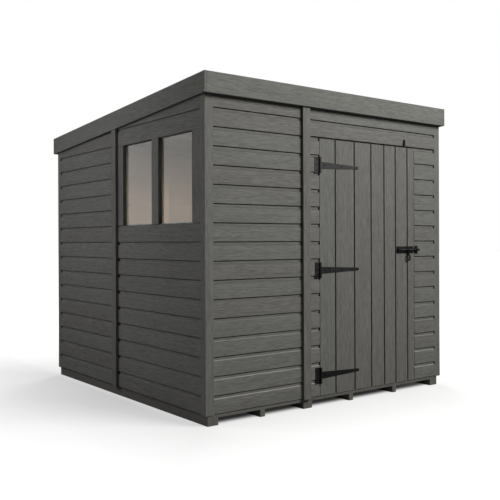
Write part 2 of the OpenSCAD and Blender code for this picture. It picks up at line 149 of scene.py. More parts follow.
def timber(name, dark, light, cool, contrast, roughness, shine, depth, knots=0.0):
    """Wood whose fibres follow the board's own grain attribute.

    dark and light are the ends of the fibre colour, cool is a second hue that
    some boards lean to, contrast is how strongly the fibres show, depth is the
    relief of the fibres in metres, and knots how dark the knots are."""
    material, tree, shader = start_material(name)
    grain = own_attribute(tree, "grain", "Vector")
    tone = own_attribute(tree, "tone", "Fac")
    wander = noise(tree, stretched(tree, grain, (1.4, 7, 7)), 1.0, 2.0, 0.5)
    bent = tree.nodes.new("ShaderNodeVectorMath")
    bent.operation = "ADD"
    plug(tree, grain, bent.inputs[0])
    push = tree.nodes.new("ShaderNodeCombineXYZ")
    plug(tree, combined(tree, "MULTIPLY", wander, 0.05), push.inputs["Y"])
    plug(tree, combined(tree, "MULTIPLY", wander, 0.05), push.inputs["Z"])
    plug(tree, push.outputs[0], bent.inputs[1])
    path = bent.outputs[0]
    fibres = noise(tree, stretched(tree, path, (9, 340, 340)), 1.0, 5.0, 0.62)
    waves = noise(tree, stretched(tree, path, (14, 250, 250)), 1.0, 2.0, 0.5, 0.6)
    rings = noise(tree, stretched(tree, path, (1.6, 70, 70)), 1.0, 3.0, 0.6, 0.4)
    patches = noise(tree, stretched(tree, grain, (2.2, 9, 9)), 1.0, 4.0, 0.6)
    pores = noise(tree, stretched(tree, path, (30, 900, 900)), 1.0, 2.0, 0.6)
    figure = combined(tree, "ADD", combined(tree, "MULTIPLY", fibres, 0.25),
                    combined(tree, "MULTIPLY", waves, 0.55))
    figure = combined(tree, "ADD", figure, combined(tree, "MULTIPLY", rings, 0.2))
    shade = spread(tree, figure, 0.5 - 0.18 / contrast, 0.5 + 0.18 / contrast)
    hue = colour_mix(tree, spread(tree, tone, 0.0, 1.0), light, cool)
    lit = colour_mix(tree, spread(tree, patches, 0.3, 0.7, 0.0, 0.25), hue, dark)
    colour = colour_mix(tree, shade, dark, lit)
    level = combined(tree, "ADD", combined(tree, "MULTIPLY", tone, 0.12), 0.94)
    value = tree.nodes.new("ShaderNodeHueSaturation")
    plug(tree, level, value.inputs["Value"])
    plug(tree, colour, value.inputs["Color"])
    colour = value.outputs[0]
    height = combined(tree, "ADD", combined(tree, "MULTIPLY", fibres, 0.6),
                    combined(tree, "MULTIPLY", pores, 0.25))
    height = combined(tree, "ADD", height, combined(tree, "MULTIPLY", waves, 0.9))
    if knots:
        cells = tree.nodes.new("ShaderNodeTexVoronoi")
        plug(tree, stretched(tree, grain, (3.1, 9, 9)), cells.inputs["Vector"])
        cells.inputs["Scale"].default_value = 1.0
        knot = spread(tree, cells.outputs["Distance"], 0.05, 0.13, knots, 0.0)
        colour = colour_mix(tree, knot, colour, [c * 0.45 for c in dark])
    plug(tree, colour, shader.inputs["Base Color"])
    plug(tree, spread(tree, figure, 0.3, 0.7, roughness + 0.07, roughness - 0.05),
         shader.inputs["Roughness"])
    shader.inputs["Specular IOR Level"].default_value = shine
    plug(tree, relief(tree, height, depth, 1.0), shader.inputs["Normal"])
    return material


def fade_upwards(material, low, high, above):
    """Blends a timber's colour into another one between two heights.

    This is painted shade, or the fading out of a painted highlight, that the lamps don't give, so
    it stays in the material."""
    tree = material.node_tree
    shader = next(n for n in tree.nodes if n.type == "BSDF_PRINCIPLED")
    colour = shader.inputs["Base Color"].links[0].from_socket
    ways = tree.nodes.new("ShaderNodeSeparateXYZ")
    plug(tree, object_place(tree), ways.inputs[0])
    share = spread(tree, ways.outputs[2], low, high, 1.0, 0.0)
    plug(tree, colour_mix(tree, share, above, colour), shader.inputs["Base Color"])


def iron(name, colour, worn, roughness, shine):
    """Black japanned steel with slightly uneven gloss and dusty patches."""
    material, tree, shader = start_material(name)
    place = object_place(tree)
    cloud = noise(tree, place, 38.0, 4.0, 0.6)
    speck = noise(tree, place, 420.0, 2.0, 0.5)
    tint = colour_mix(tree, spread(tree, cloud, 0.42, 0.72, 0.0, 0.6), colour, worn)
    plug(tree, tint, shader.inputs["Base Color"])
    plug(tree, spread(tree, cloud, 0.3, 0.7, roughness - 0.03, roughness + 0.05),
         shader.inputs["Roughness"])
    shader.inputs["Specular IOR Level"].default_value = shine
    both = combined(tree, "ADD", combined(tree, "MULTIPLY", speck, 0.6), cloud)
    plug(tree, relief(tree, both, 0.00003, 0.3), shader.inputs["Normal"])
    return material


def mineral_felt():
    """Bitumen felt with a face of grey-green mineral chips."""
    material, tree, shader = start_material("mineral felt")
    place = object_place(tree)
    chips = tree.nodes.new("ShaderNodeTexVoronoi")
    plug(tree, place, chips.inputs["Vector"])
    chips.inputs["Scale"].default_value = 420.0
    chip_tone = tree.nodes.new("ShaderNodeSeparateColor")
    plug(tree, chips.outputs["Color"], chip_tone.inputs[0])
    stain = noise(tree, place, 2.6, 5.0, 0.6)
    streak = noise(tree, stretched(tree, place, (9, 1.2, 1)), 1.0, 4.0, 0.6)
    chip = colour_mix(tree, chip_tone.outputs[0], (0.045, 0.05, 0.048), (0.13, 0.14, 0.132))
    weathered = colour_mix(tree, spread(tree, stain, 0.35, 0.7, 0.0, 0.55),
                           chip, (0.055, 0.062, 0.05))
    dusty = colour_mix(tree, spread(tree, streak, 0.45, 0.75, 0.0, 0.3),
                       weathered, (0.16, 0.16, 0.145))
    plug(tree, dusty, shader.inputs["Base Color"])
    shader.inputs["Roughness"].default_value = 0.92
    shader.inputs["Specular IOR Level"].default_value = 0.25
    lumps = combined(tree, "ADD", chips.outputs["Distance"],
                   noise(tree, place, 60.0, 3.0, 0.5))
    plug(tree, relief(tree, lumps, 0.0009, 0.8), shader.inputs["Normal"])
    return material


def clear_glass():
    """Float glass, faintly green, with a little dust in its gloss."""
    material, tree, shader = start_material("clear glass")
    dust = noise(tree, object_place(tree), 5.0, 6.0, 0.65)
    haze = spread(tree, dust, 0.45, 0.8, 0.0, 0.03)
    plug(tree, haze, shader.inputs["Roughness"])
    tint = colour_mix(tree, spread(tree, dust, 0.4, 0.8), (0.97, 0.985, 0.975),
                      (0.93, 0.945, 0.93))
    plug(tree, tint, shader.inputs["Base Color"])
    shader.inputs["Transmission Weight"].default_value = 1.0
    shader.inputs["IOR"].default_value = 1.45
    shader.inputs["Specular IOR Level"].default_value = 0.2
    return material


STAIN = timber("dark stained boards", (0.080, 0.080, 0.075), (0.135, 0.132, 0.125),
               (0.121, 0.127, 0.118), 1.9, 0.72, 0.16, 0.0009)
BARE = timber("bare timber", (0.41, 0.328, 0.258), (0.585, 0.49, 0.41),
              (0.565, 0.475, 0.385), 0.8, 0.66, 0.25, 0.0003, 0.35)
POST = timber("planed frame timber", (0.50, 0.41, 0.33), (0.68, 0.58, 0.49),
              (0.66, 0.565, 0.465), 0.8, 0.62, 0.25, 0.0003, 0.3)
# Painted shade: the roof boards are bare timber coloured dark grey for the shade under the roof.
DECK_PAINTED_SHADE = timber("roof boards in painted shade", (0.125, 0.122, 0.112), (0.185, 0.18, 0.165),
                   (0.17, 0.172, 0.156), 0.9, 0.75, 0.12, 0.0004, 0.3)
# Painted highlight: paler timber on the sloping shoulder under each lap stands for light caught
# there. It is full near the ground and fades to dark between 0.2 and 0.8 m up.
SHOULDER_HIGHLIGHT = timber("board shoulders with painted highlight", (0.15, 0.148, 0.14), (0.245, 0.24, 0.228),
                (0.23, 0.235, 0.22), 1.2, 0.6, 0.25, 0.0004)
fade_upwards(SHOULDER_HIGHLIGHT, 0.2, 0.8, (0.062, 0.0615, 0.058))
# Painted shade: the bare boards and the frame timber go darker towards the roof, between about
# 1.4 and 1.85 m.
fade_upwards(BARE, 1.42, 1.86, (0.215, 0.19, 0.16))
fade_upwards(POST, 1.42, 1.82, (0.185, 0.176, 0.158))
BEARER = timber("bearer timber", (0.075, 0.074, 0.068), (0.125, 0.122, 0.113),
                (0.115, 0.118, 0.106), 0.9, 0.8, 0.12, 0.0009, 0.3)
IRON = iron("black japanned iron", (0.006, 0.006, 0.006), (0.011, 0.011, 0.0105), 0.17, 0.5)
SCREW = iron("blackened screws", (0.003, 0.003, 0.003), (0.008, 0.008, 0.008), 0.6, 0.06)
BLACK = iron("dull black iron", (0.004, 0.004, 0.004), (0.009, 0.009, 0.009), 0.42, 0.16)
FELT = mineral_felt()
GLASS = clear_glass()


# ---------------------------------------------------------------- solids

def solids_of(name):
    """The separate solids of a CAD node, each a bmesh with its flat faces whole."""
    whole = bmesh.new()
    whole.from_mesh(nodes[name].data)
    bmesh.ops.remove_doubles(whole, verts=whole.verts, dist=2e-6)
    bmesh.ops.dissolve_limit(whole, angle_limit=math.radians(0.6),
                             verts=whole.verts, edges=whole.edges)
    left = set(range(len(whole.verts)))
    whole.verts.ensure_lookup_table()
    found = []
    while left:
        stack = [left.pop()]
        island = set(stack)
        while stack:
            for edge in whole.verts[stack.pop()].link_edges:
                for vert in edge.verts:
                    if vert.index in left:
                        left.discard(vert.index)
                        island.add(vert.index)
                        stack.append(vert.index)
        part = whole.copy()
        bmesh.ops.delete(part, geom=[v for v in part.verts if v.index not in island],
                         context="VERTS")
        found.append(part)
    whole.free()
    return found


def extent(bm):
    """Lowest and highest corner of a bmesh."""
    low = Vector(min(v.co[i] for v in bm.verts) for i in range(3))
    high = Vector(max(v.co[i] for v in bm.verts) for i in range(3))
    return low, high


def cut_off(bm, point, normal):
    """Removes what lies beyond a plane and closes the cut."""
    if max((v.co - point).dot(normal) for v in bm.verts) < 1e-6:
        return
    cut = bmesh.ops.bisect_plane(bm, geom=bm.verts[:] + bm.edges[:] + bm.faces[:],
                                 plane_co=point, plane_no=normal,
                                 clear_outer=True, dist=1e-6)
    rim = [g for g in cut["geom_cut"] if isinstance(g, bmesh.types.BMEdge)]
    bmesh.ops.edgeloop_fill(bm, edges=rim)


def cut_between(bm, axis, low, high):
    """A copy of a solid between two planes square to an axis."""
    part = bm.copy()
    cut_off(part, axis * low, -axis)
    cut_off(part, axis * high, axis)
    return part


def ease_edges(bm, width, segments=1, angle=32.0):
    """Rounds the sharp edges of a solid."""
    sharp = [e for e in bm.edges if len(e.link_faces) == 2
             and e.calc_face_angle(0) > math.radians(angle)]
    if sharp:
        bmesh.ops.bevel(bm, geom=sharp, offset=width, offset_type="OFFSET",
                        affect="EDGES", segments=segments, profile=0.5,
                        material=-1, clamp_overlap=True)


def extruded(outline, way):
    """A solid made by drawing an outline along a straight way."""
    solid = bmesh.new()
    end = solid.faces.new([solid.verts.new(corner) for corner in outline])
    grown = bmesh.ops.extrude_face_region(solid, geom=[end])
    moved = [g for g in grown["geom"] if isinstance(g, bmesh.types.BMVert)]
    bmesh.ops.translate(solid, verts=moved, vec=way)
    return solid


def lay_grain(bm, along, tone=None, start=None):
    """Records where each vertex lies in its timber, with the fibres along one way."""
    along = along.normalized()
    side = along.orthogonal().normalized()
    if abs(along.x) > 0.99 or abs(along.y) > 0.99 or abs(along.z) > 0.99:
        side = Y if abs(along.x) > 0.99 else X
    depth = along.cross(side)
    if start is None:
        start = Vector([timber_picks.uniform(3, 60) for _ in range(3)])
    if tone is None:
        tone = timber_picks.random()
    grain_layer = bm.verts.layers.float_vector.new("grain")
    tone_layer = bm.verts.layers.float.new("tone")
    for vert in bm.verts:
        place = Vector((vert.co.dot(along), vert.co.dot(side), vert.co.dot(depth)))
        vert[grain_layer] = place + start
        vert[tone_layer] = tone
    return bm


def longest_way(bm):
    """The axis along which a solid is longest."""
    low, high = extent(bm)
    size = high - low
    return (X, Y, Z)[max(range(3), key=lambda i: size[i])]


def piece(name, parts, materials, body, slot, *stands_for, face_material=None):
    """Joins solids into one object that rides on a body and replaces CAD nodes."""
    joined = bmesh.new()
    for part in parts:
        bmesh.ops.recalc_face_normals(part, faces=part.faces)
        if face_material is not None:
            for face in part.faces:
                face.material_index = face_material(face)
        else:
            for face in part.faces:
                face.material_index = 0
        mesh = bpy.data.meshes.new("part")
        part.to_mesh(mesh)
        part.free()
        joined.from_mesh(mesh)
        bpy.data.meshes.remove(mesh)
    mesh = bpy.data.meshes.new(name)
    joined.to_mesh(mesh)
    joined.free()
    for stale in [a.name for a in mesh.attributes if a.name == "custom_normal"]:
        mesh.attributes.remove(mesh.attributes[stale])
    mesh.shade_smooth()
    mesh.set_sharp_from_angle(angle=math.radians(20))
    for material in materials:
        mesh.materials.append(material)
    made = bpy.data.objects.new(name, mesh)
    bpy.context.scene.collection.objects.link(made)
    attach(made, body)
    if stands_for:
        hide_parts(*stands_for)
    return made


# ---------------------------------------------------------------- main lines

def edge_height(name, y_end, highest):
    """Height of a node's top or underside at its front (-1) or back (1) edge."""
    low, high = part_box(name)
    at = low.y if y_end < 0 else high.y
    levels = [v.co.z for v in nodes[name].data.vertices if abs(v.co.y - at) < 1e-5]
    return at, (max if highest else min)(levels)


front_y, front_z = edge_height("roof_deck", -1, False)
rear_y, rear_z = edge_height("roof_deck", 1, False)
slope = (rear_z - front_z) / (rear_y - front_y)
deck_point = Vector((0, front_y, front_z - 0.0001))
deck_normal = Vector((0, -slope, 1)).normalized()


floor_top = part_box("floor_panel_left")[1].z
head_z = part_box("front_cladding_over_door")[0].z
WALL_ROWS = 15
pitch = (head_z - floor_top) / WALL_ROWS
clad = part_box("front_cladding_left")[1].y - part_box("front_cladding_left")[0].y
front_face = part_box("front_cladding_left")[0].y
ARRIS = 0.0008


# ---------------------------------------------------------------- shiplap walls

LAP = 0.0088
RECESS = 0.0052
SLOT_DEEP = 0.0125
SLOT_HIGH = 0.0058
POCKET_DEEP = 0.0128
POCKET_LONG = 0.0085
POCKET_SIDE = 0.02
FOOT_GAP = 0.005


def shiplap_outline(lowest, recess):
    """Cross-section of one board as (depth behind the face, height)."""
    foot = [(0.0, 0.0014), (0.0004, 0.0004), (0.0014, 0.0)]
    if lowest:
        foot = [(depth, height + FOOT_GAP) for depth, height in foot]
        foot += [(0.011, FOOT_GAP), (0.011, 0.0), (clad, 0.0)]
    else:
        foot += [(0.0062, 0.0), (0.0062, LAP + 0.0002), (clad, LAP + 0.0002)]
    slot = max(SLOT_DEEP, recess + 0.0004)
    head = [
        (clad, pitch + LAP), (slot, pitch + LAP), (slot, pitch - SLOT_HIGH),
        (recess, pitch - SLOT_HIGH), (recess, pitch - 0.0185),
        (recess - 0.0010, pitch - 0.0198), (0.0010, pitch - 0.0231),
        (0.0002, pitch - 0.0239), (0.0, pitch - 0.0248)
    ]
    return foot + head


def wall_places(node, faces):
    """Matrix from (along, depth, height) to the frame for a wall facing that way."""
    low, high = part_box(node)
    if faces == "front":
        return Matrix(((1, 0, 0, low.x), (0, 1, 0, low.y), (0, 0, 1, 0), (0, 0, 0, 1))), \
            high.x - low.x, X
    if faces == "back":
        return Matrix(((1, 0, 0, low.x), (0, -1, 0, high.y), (0, 0, 1, 0), (0, 0, 0, 1))), \
            high.x - low.x, X
    if faces == "left":
        return Matrix(((0, 1, 0, low.x), (1, 0, 0, low.y), (0, 0, 1, 0), (0, 0, 0, 1))), \
            high.y - low.y, Y
    return Matrix(((0, -1, 0, high.x), (1, 0, 0, low.y), (0, 0, 1, 0), (0, 0, 0, 1))), \
        high.y - low.y, Y


def boarded_wall(name, node, faces, pocket):
    """Shiplap boards over the whole of one cladding node.

    pocket is how long the open end of the recess over each board is; it lies at
    the far end of the wall's axis, or at the near end when negative."""
    low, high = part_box(node)
    to_frame, length, along = wall_places(node, faces)
    inward = (to_frame.to_3x3() @ Y).normalized()
    if pocket > 0:
        lengths = [(0, length - pocket, RECESS), (length - pocket, length, POCKET_DEEP)]
    else:
        lengths = [(0, -pocket, POCKET_DEEP), (-pocket, length, RECESS)]
    boards = []
    level = low.z
    while level < high.z - 0.002:
        tone = timber_picks.random()
        start = Vector([timber_picks.uniform(3, 60) for _ in range(3)])
        for first, last, recess in lengths:
            outline = [Vector((first, d, h + level))
                       for d, h in shiplap_outline(level == low.z, recess)]
            board = extruded(outline, X * (last - first))
            bmesh.ops.transform(board, matrix=to_frame, verts=board.verts)
            cut_off(board, Vector((0, 0, high.z)), Z)
            cut_off(board, deck_point, deck_normal)
            boards.append(lay_grain(board, along, tone, start))
        level += pitch

    def side(face):
        """Bare inside; the sloping shoulder under each lap gets a painted highlight, except on
        the left wall.
        """
        facing = face.normal.dot(inward)
        if facing > 0.9 and face.calc_area() > 0.003:
            return 1
        # Painted highlight on the outward, upward-sloping shoulder faces.
        highlighted = faces != "left" and facing < -0.3 and face.normal.z > 0.4
        return 2 if highlighted else 0

    return piece(name, boards, [STAIN, BARE, SHOULDER_HIGHLIGHT], "root", "stained_boards", node,
                 face_material=side)


strip_low, strip_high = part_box("left_cover_strip")
half_strip = (strip_high.y - strip_low.y) / 2
for wall, node, faces, pocket in (
    ("front_boards_left", "front_cladding_left", "front", POCKET_LONG),
    ("front_boards_by_hinges", "front_cladding_hinge_side", "front", POCKET_LONG),
    ("front_boards_by_latch", "front_cladding_latch_side", "front", POCKET_LONG),
    ("front_boards_over_door", "front_cladding_over_door", "front", POCKET_LONG),
    ("left_boards_below_window", "left_cladding_below_window", "left", half_strip + POCKET_SIDE),
    ("left_boards_above_window", "left_cladding_above_window", "left", POCKET_SIDE),
    ("left_boards_rear", "left_cladding_rear", "left", POCKET_SIDE),
    ("right_boards_front", "right_cladding_front", "right", half_strip + POCKET_SIDE),
    ("right_boards_rear", "right_cladding_rear", "right", POCKET_SIDE),
    ("back_boards_left", "back_cladding_left", "back", -POCKET_LONG),
    ("back_boards_right", "back_cladding_right", "back", -POCKET_LONG),
):
    boarded_wall(wall, node, faces, pocket)


# ---------------------------------------------------------------- trims and fascias

def eased_copy(name, node, materials, slot, width, body="root", segments=1, along=None):
    """A CAD node as it is, with eased edges and timber grain."""
    parts = []
    for solid in solids_of(node):
        way = along or longest_way(solid)
        ease_edges(solid, width, segments)
        parts.append(lay_grain(solid, way))
    return piece(name, parts, materials, body, slot, node)


for corner in ("front_left", "front_right", "back_left", "back_right"):
    eased_copy("corner_boards_" + corner, "corner_trim_" + corner, [STAIN],
               "stained_boards", 0.0012, along=Z)
for wall in ("front", "back", "left", "right"):
    eased_copy("joint_strip_" + wall, wall + "_cover_strip", [STAIN],
               "stained_boards", 0.002, along=Z, segments=2)
    way = X if wall in ("front", "back") else Y
    eased_copy("roof_edge_board_" + wall, "fascia_" + wall, [STAIN],
               "stained_boards", 0.0014, along=way)


# ---------------------------------------------------------------- framing

for name, node, along in (
    ("front_wall_studs", "front_studs", Z), ("back_wall_studs", "back_studs", Z),
    ("left_wall_studs", "left_studs", Z), ("right_wall_studs", "right_studs", Z),
    ("front_and_back_wall_rails", "front_and_back_rails", X),
    ("side_wall_rails", "side_rails", Y), ("purlins", "roof_purlins", X),
):
    eased_copy(name, node, [POST], "bare_timber", 0.0015, along=along)
eased_copy("stops_around_door", "door_stops", [BARE], "bare_timber", 0.001)


# ---------------------------------------------------------------- floor and roof

def split_into_boards(solid, axis, width, gap):
    """Loose boards of about one width, side by side along an axis."""
    low, high = extent(solid)
    first, last = low.dot(axis), high.dot(axis)
    count = max(1, round((last - first) / width))
    step = (last - first) / count
    boards = []
    for i in range(count):
        a = first + i * step + (gap / 2 if i else 0)
        b = first + (i + 1) * step - (gap / 2 if i < count - 1 else 0)
        boards.append(cut_between(solid, axis, a, b))
    return boards


floor_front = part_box("floor_panel_left")[0].y


def floor_face(face):
    """Bare inside; stained on the board at the doorway and where edges show outside."""
    inside = face.normal.z > 0.5 and face.calc_center_median().y > floor_front + 0.1
    return 0 if inside else 1


for side in ("left", "right"):
    boards = []
    for solid in solids_of("floor_panel_" + side):
        boards += split_into_boards(solid, Y, 0.119, 0.0004)
        solid.free()
    for board in boards:
        ease_edges(board, 0.0007)
        lay_grain(board, X)
    piece("floor_boards_" + side, boards, [BARE, BEARER], "root", "bare_timber",
          "floor_panel_" + side, face_material=floor_face)

bearers = []
for solid in solids_of("floor_bearers"):
    low, high = extent(solid)
    bearers += split_into_boards(solid, X, 0.038, 0.0006)
    solid.free()
for bearer in bearers:
    ease_edges(bearer, 0.0012)
    lay_grain(bearer, Y)
piece("bearers", bearers, [BEARER], "root", "bearer_timber", "floor_bearers")

deck = solids_of("roof_deck")[0]
deck_boards = split_into_boards(deck, X, 0.098, 0.0006)
deck.free()
for board in deck_boards:
    ease_edges(board, 0.0012)
    lay_grain(board, Y)
# The roof boards take the painted shade colour.
piece("roof_boards", deck_boards, [DECK_PAINTED_SHADE], "root", "bare_timber", "roof_deck")

LAP_WIDE = 0.075
FELT_ROWS = 3
felt_low, felt_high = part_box("roof_felt")
felt_front_y, felt_front_z = edge_height("roof_felt", -1, True)
felt_thick = felt_front_z - edge_height("roof_felt", -1, False)[1]


def felt_top(y):
    """Height of the felt's upper face."""
    return felt_front_z + (y - felt_front_y) * slope


felt_parts = []
row_deep = (felt_high.y - felt_low.y - LAP_WIDE) / FELT_ROWS
half = felt_thick / 2
for row in range(FELT_ROWS):
    upper = felt_low.y + row * row_deep
    lower = upper + row_deep + LAP_WIDE
    if row < FELT_ROWS - 1:
        outline = [(upper, 2 * half), (upper, half), (lower - LAP_WIDE - 0.012, half),
                   (lower - LAP_WIDE - 0.002, 0.0), (lower, 0.0), (lower, half),
                   (lower - LAP_WIDE - 0.001, half), (lower - LAP_WIDE - 0.004, 2 * half)]
    else:
        outline = [(upper, 2 * half), (upper, half), (lower, half), (lower, 2 * half)]
    corners = [Vector((felt_low.x, y, felt_top(y) - drop)) for y, drop in outline]
    felt_parts.append(extruded(corners, X * (felt_high.x - felt_low.x)))
piece("felt_sheets", felt_parts, [FELT], "root", "roofing_felt", "roof_felt")


# ---------------------------------------------------------------- screws and nails

def screw(place, out, radius, turn=0.0):
    """A raised screw head with a cross recess, facing out."""
    head = bmesh.new()
    bmesh.ops.create_circle(head, cap_ends=True, radius=radius, segments=16)
    grown = bmesh.ops.extrude_face_region(head, geom=head.faces[:])
    top = [g for g in grown["geom"] if isinstance(g, bmesh.types.BMFace)]
    moved = [g for g in grown["geom"] if isinstance(g, bmesh.types.BMVert)]
    bmesh.ops.translate(head, verts=moved, vec=(0, 0, radius * 0.3))
    rim = list(top[0].edges)
    bmesh.ops.bevel(head, geom=rim, offset=radius * 0.22, offset_type="OFFSET",
                    affect="EDGES", segments=2, profile=0.5, material=-1)
    crown = max(head.faces, key=lambda f: f.calc_center_median().z)
    bmesh.ops.inset_region(head, faces=[crown], thickness=radius * 0.16, depth=0)
    crown = max(head.faces, key=lambda f: (round(f.calc_center_median().z, 7), f.calc_area()))
    slot_half = radius * 0.13

    def on_crown(face, level):
        """Whether a face is part of the flat middle, and not of the ring round it."""
        middle = face.calc_center_median()
        if middle.z <= level - 1e-7 or face.normal.z <= 0.99:
            return False
        reach = middle.xy.length
        return reach < radius * 0.3 or (reach < radius * 0.6 and len(face.verts) != 4)

    for axis in (X, Y):
        for sign in (-1, 1):
            level = crown.calc_center_median().z
            flat = [f for f in head.faces if on_crown(f, level)]
            around = {e for f in flat for e in f.edges}
            ends = {v for f in flat for v in f.verts}
            bmesh.ops.bisect_plane(head, geom=list(flat) + list(around) + list(ends),
                                   plane_co=axis * sign * slot_half, plane_no=axis)
    level = max(f.calc_center_median().z for f in head.faces)
    cross = []
    for face in head.faces:
        middle = face.calc_center_median()
        inside = middle.xy.length < radius * 0.56
        on_slot = abs(middle.x) < slot_half or abs(middle.y) < slot_half
        if middle.z > level - 1e-7 and inside and on_slot:
            cross.append(face)
    sunk = bmesh.ops.extrude_face_region(head, geom=cross)
    bmesh.ops.delete(head, geom=[f for f in cross if f.is_valid], context="FACES_ONLY")
    moved = [g for g in sunk["geom"] if isinstance(g, bmesh.types.BMVert)]
    bmesh.ops.translate(head, verts=moved, vec=(0, 0, -radius * 0.22))
    facing = out.to_track_quat("Z", "Y").to_matrix().to_4x4()
    spin = Matrix.Rotation(turn, 4, "Z")
    bmesh.ops.transform(head, matrix=Matrix.Translation(place) @ facing @ spin,
                        verts=head.verts)
    return head


def nail(place, out, radius):
    """A flat clout nail head."""
    head = bmesh.new()
    bmesh.ops.create_circle(head, cap_ends=True, radius=radius, segments=10)
    grown = bmesh.ops.extrude_face_region(head, geom=head.faces[:])
    moved = [g for g in grown["geom"] if isinstance(g, bmesh.types.BMVert)]
    bmesh.ops.translate(head, verts=moved, vec=(0, 0, radius * 0.16))
    facing = out.to_track_quat("Z", "Y").to_matrix().to_4x4()
    bmesh.ops.transform(head, matrix=Matrix.Translation(place) @ facing, verts=head.verts)
    return head


nails = []
roof_up = Vector((0, -slope, 1)).normalized()
for row in range(FELT_ROWS - 1):
    edge = felt_low.y + (row + 1) * row_deep + LAP_WIDE - 0.018
    count = 16
    for i in range(count):
        x = felt_low.x + 0.04 + (felt_high.x - felt_low.x - 0.08) * i / (count - 1)
        x += timber_picks.uniform(-0.006, 0.006)
        nails.append(nail(Vector((x, edge, felt_top(edge))), roof_up, 0.005))
piece("felt_nails", nails, [IRON], "root", "black_ironwork")


# ---------------------------------------------------------------- window

panes = sorted((extent(s) for s in solids_of("window_panes")), key=lambda e: e[0].y)
frame_low, frame_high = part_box("window_frame")
glass_low, glass_high = panes[0][0].z, panes[0][1].z
face_x = frame_low.x
JOINT = 0.0005


def block(x, y, z, ease=0.001, segments=1):
    """A board between two corners, with eased edges and grain the long way."""
    board = bmesh.new()
    bmesh.ops.create_cube(board, size=1.0)
    size = Vector((x[1] - x[0], y[1] - y[0], z[1] - z[0]))
    middle = Vector((x[0] + x[1], y[0] + y[1], z[0] + z[1])) / 2
    bmesh.ops.scale(board, vec=size, verts=board.verts)
    bmesh.ops.translate(board, vec=middle, verts=board.verts)
    ease_edges(board, ease, segments)
    return lay_grain(board, longest_way(board))


faces_in = (face_x, face_x + clad)
uprights = [(frame_low.y, panes[0][0].y), (panes[0][1].y, panes[1][0].y),
            (panes[1][1].y, frame_high.y)]
RAIL_REBATE = 0.006
RAIL_REBATE_HIGH = 0.013


def window_rail(low_z, high_z):
    """A rail whose top edge is rebated under the board above it."""
    inner = face_x + clad
    rebate = face_x + RAIL_REBATE
    shoulder = high_z - RAIL_REBATE_HIGH
    outline = [(inner, low_z), (face_x + ARRIS, low_z), (face_x, low_z + ARRIS),
               (face_x, shoulder - 0.0012), (face_x + 0.0014, shoulder),
               (rebate, shoulder + 0.0008), (rebate, high_z - 0.0048),
               (face_x + 0.0105, high_z - 0.0048), (face_x + 0.0105, high_z), (inner, high_z)]
    corners = [Vector((x, frame_low.y, z)) for x, z in outline]
    return lay_grain(extruded(corners, Y * (frame_high.y - frame_low.y)), Y)


window_boards = [
    window_rail(frame_low.z, glass_low - JOINT),
    window_rail(glass_high + JOINT, frame_high.z)
]
for side in uprights:
    window_boards.append(block(faces_in, side, (glass_low, glass_high)))
piece("window_boards", window_boards, [STAIN], "root", "stained_boards", "window_frame")

LINING = 0.034
LINING_STEP = 0.016
BEAD = 0.006
BEAD_THICK = 0.003
glass_x = (panes[0][0].x, panes[0][1].x)
lining_low, lining_high = glass_low - LINING, glass_high + LINING
lining_y = (panes[0][0].y - LINING, panes[1][1].y + LINING)
linings = []
stained_to = glass_x[1] + BEAD_THICK
for inner_x, back in (((face_x + clad, stained_to), 0.0),
                      ((stained_to, frame_high.x), LINING_STEP)):
    low_z, high_z = glass_low - back, glass_high + back
    for z in ((lining_low, low_z), (high_z, lining_high)):
        linings.append(block(inner_x, lining_y, z, 0.0004))
    for low_y, high_y in ((lining_y[0], panes[0][0].y - back),
                          (panes[0][1].y + back, panes[1][0].y - back),
                          (panes[1][1].y + back, lining_y[1])):
        linings.append(block(inner_x, (low_y, high_y),
                             (low_z + 0.0003, high_z - 0.0003), 0.0004))


def lining_face(face):
    """Stained outside and round the glass, bare at the room side."""
    return 1 if face.calc_center_median().x > stained_to else 0


piece("window_lining", linings, [STAIN, POST], "root", "stained_boards",
      face_material=lining_face)

beads = []
behind_glass = (glass_x[1] + 0.0001, stained_to)
for low, high in panes:
    between = (low.z + BEAD, high.z - BEAD)
    for y, z in (
        ((low.y, high.y), (low.z, low.z + BEAD)), ((low.y, high.y), (high.z - BEAD, high.z)),
        ((low.y, low.y + BEAD), between), ((high.y - BEAD, high.y), between)
    ):
        beads.append(block(behind_glass, y, z, ARRIS, segments=2))
piece("glazing_beads", beads, [STAIN], "root", "stained_boards")

for pane_slot in nodes["window_panes"].material_slots:
    pane_slot.material = GLASS


# ---------------------------------------------------------------- door

DOOR_JOINTS = (-0.0185, 0.161, 0.325, 0.4565, 0.575, 0.702)
GROOVE_WIDE = 0.0105
GROOVE_DEEP = 0.0115
DOOR_SPREAD = 0.002
leaf_low, leaf_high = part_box("door_leaf")
leaf_left, leaf_right = leaf_low.x - DOOR_SPREAD, leaf_high.x + DOOR_SPREAD


def door_board_side(at, inner, way):
    """Corners of one long edge of a door board, from the back to the front."""
    back, front = leaf_high.y, leaf_low.y
    if not inner:
        return [(at, back), (at, front + ARRIS), (at + way * ARRIS, front)]
    tongue = at + way * 0.0002
    edge = at + way * GROOVE_WIDE / 2
    return [(tongue, back), (tongue, front + GROOVE_DEEP), (edge, front + GROOVE_DEEP),
            (edge, front + ARRIS), (edge + way * ARRIS, front)]


door_boards = []
edges = [leaf_left, *DOOR_JOINTS, leaf_right]
for i in range(len(edges) - 1):
    left_side = door_board_side(edges[i], i > 0, 1)
    right_side = door_board_side(edges[i + 1], i < len(edges) - 2, -1)
    corners = [Vector((x, y, leaf_low.z)) for x, y in left_side + right_side[::-1]]
    tall = leaf_high.z - leaf_low.z
    door_boards.append(lay_grain(extruded(corners, Z * tall), Z))


def door_face(face):
    """Bare on the inside of the shed."""
    return 1 if face.normal.y > 0.9 else 0


